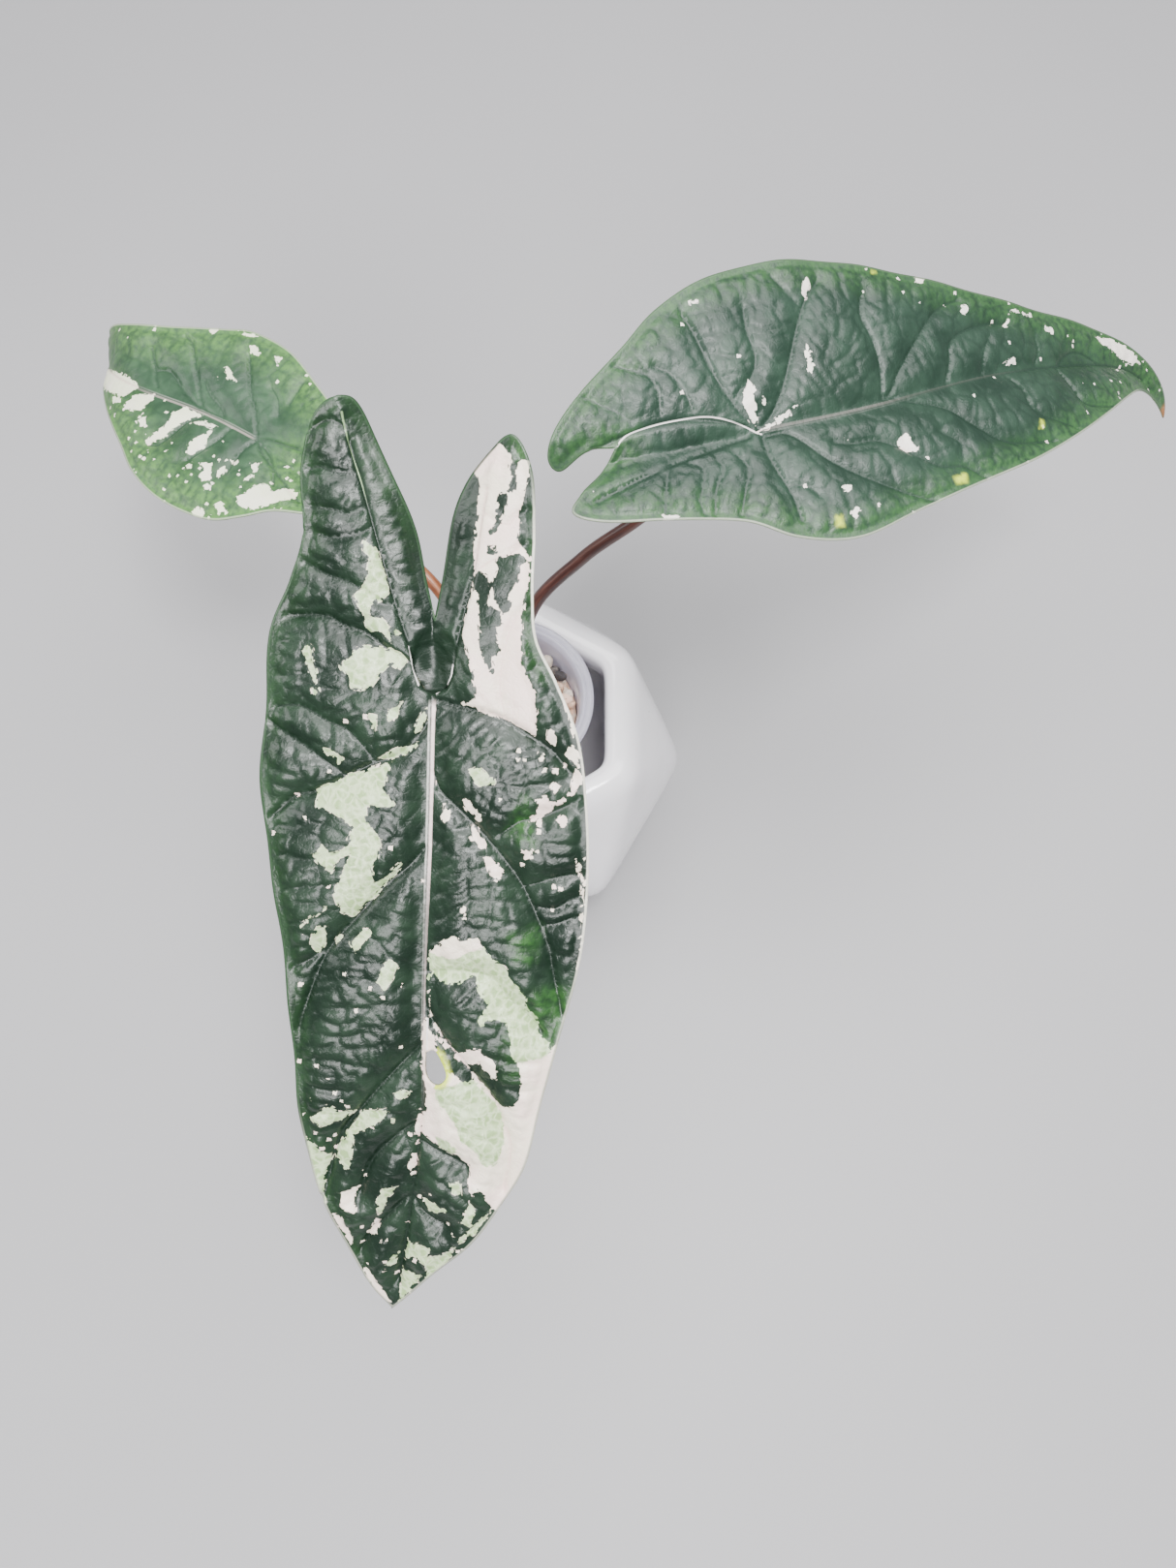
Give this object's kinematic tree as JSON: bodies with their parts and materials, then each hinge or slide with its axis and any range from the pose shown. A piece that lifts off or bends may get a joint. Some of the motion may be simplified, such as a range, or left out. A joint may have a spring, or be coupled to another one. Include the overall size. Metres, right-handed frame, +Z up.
{
  "type": "potted alocasia",
  "caption": "Variegated alocasia with arrow-shaped leaves in a clear inner cup of pumice, standing in a white faceted ceramic planter.",
  "frame": {"origin": "centre of the planter's underside", "axes": "+Z up, -Y the way the longest leaf hangs, +X the way the second leaf reaches"},
  "size_m": [0.418, 0.3591, 0.287],
  "materials": {
    "glazed_white": "gloss glaze",
    "clear_plastic": "clear, slightly lilac",
    "pumice": "matt, mixed cream, peach and grey",
    "loose_pumice": "matt, mixed cream, peach, orange and grey",
    "corm_bark": "matt, papery",
    "root_skin": "matt",
    "petiole_maroon": "satin, fleshy",
    "petiole_orange": "satin, fleshy",
    "front_leaf": "waxy dark green with cream, pink and mint patches",
    "right_leaf": "waxy mid green with small cream flecks",
    "left_leaf": "waxy light green with cream patches"
  },
  "bodies": {
    "root": {"outer_planter": "glazed_white", "inner_cup": "clear_plastic", "pumice_fill": "pumice", "corm": "corm_bark", "front_petiole": "petiole_maroon", "right_petiole": "petiole_maroon", "left_petiole": "petiole_orange", "front_blade": "front_leaf", "right_blade": "right_leaf", "left_blade": "left_leaf", "root_1": "root_skin", "root_2": "root_skin", "root_3": "root_skin", "root_4": "root_skin", "root_5": "root_skin", "grain_01": "loose_pumice", "grain_02": "loose_pumice", "grain_03": "loose_pumice", "grain_04": "loose_pumice", "grain_05": "loose_pumice", "grain_06": "loose_pumice", "grain_07": "loose_pumice", "grain_08": "loose_pumice", "grain_09": "loose_pumice", "grain_10": "loose_pumice", "grain_11": "loose_pumice", "grain_12": "loose_pumice", "grain_13": "loose_pumice", "grain_14": "loose_pumice", "grain_15": "loose_pumice", "grain_16": "loose_pumice", "grain_17": "loose_pumice", "grain_18": "loose_pumice", "grain_19": "loose_pumice", "grain_20": "loose_pumice", "grain_21": "loose_pumice", "grain_22": "loose_pumice", "grain_23": "loose_pumice", "grain_24": "loose_pumice", "grain_25": "loose_pumice", "grain_26": "loose_pumice", "grain_27": "loose_pumice", "grain_28": "loose_pumice", "grain_29": "loose_pumice", "grain_30": "loose_pumice", "grain_31": "loose_pumice", "grain_32": "loose_pumice", "grain_33": "loose_pumice", "grain_34": "loose_pumice", "grain_35": "loose_pumice"}
  },
  "joints": []
}
